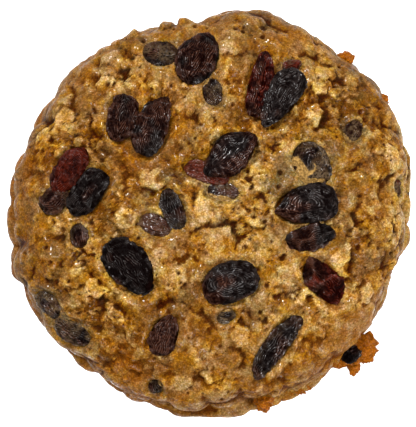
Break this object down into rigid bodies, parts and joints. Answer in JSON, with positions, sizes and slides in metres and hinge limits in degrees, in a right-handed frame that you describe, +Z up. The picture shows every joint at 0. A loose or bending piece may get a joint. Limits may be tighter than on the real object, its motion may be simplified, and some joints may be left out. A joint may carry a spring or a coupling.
{
  "type": "oatmeal raisin cookie",
  "caption": "Round, thick, soft-baked oatmeal cookie with a lumpy, oat-flaked crust, raisins sunk in its top, crisp crumbs at its foot and a flat base.",
  "frame": {"origin": "on the flat base, under the middle of the cookie's bounding box", "axes": "+Z up out of the crust, +X towards the side that is on the right when the crust is seen from above with +Y at the top"},
  "size_m": [0.0917, 0.0925, 0.019],
  "materials": {
    "baked_dough": "soft baked oat dough, caramel brown, lightly glazed",
    "black_raisin": "wrinkled, near-black, satin to glossy",
    "brown_raisin": "wrinkled, dark brown, satin to glossy",
    "red_raisin": "wrinkled, translucent red-brown, glossy",
    "filmed_raisin": "dark raisin under a thin grey-brown film of dough"
  },
  "bodies": {
    "root": {"dough": "baked_dough", "raisin_01": "black_raisin", "raisin_02": "filmed_raisin", "raisin_03": "filmed_raisin", "raisin_04": "black_raisin", "raisin_05": "red_raisin", "raisin_06": "red_raisin", "raisin_07": "brown_raisin", "raisin_08": "brown_raisin", "raisin_09": "red_raisin", "raisin_10": "black_raisin", "raisin_11": "brown_raisin", "raisin_12": "black_raisin", "raisin_13": "black_raisin", "raisin_14": "brown_raisin", "raisin_15": "black_raisin", "raisin_16": "red_raisin", "raisin_17": "filmed_raisin", "raisin_18": "black_raisin", "raisin_19": "brown_raisin", "raisin_20": "filmed_raisin", "raisin_21": "black_raisin", "raisin_22": "black_raisin", "raisin_23": "red_raisin", "raisin_24": "black_raisin", "raisin_25": "brown_raisin", "raisin_26": "black_raisin", "raisin_27": "filmed_raisin", "raisin_28": "black_raisin", "raisin_29": "black_raisin", "raisin_30": "black_raisin", "raisin_31": "brown_raisin", "raisin_32": "red_raisin"}
  },
  "joints": []
}
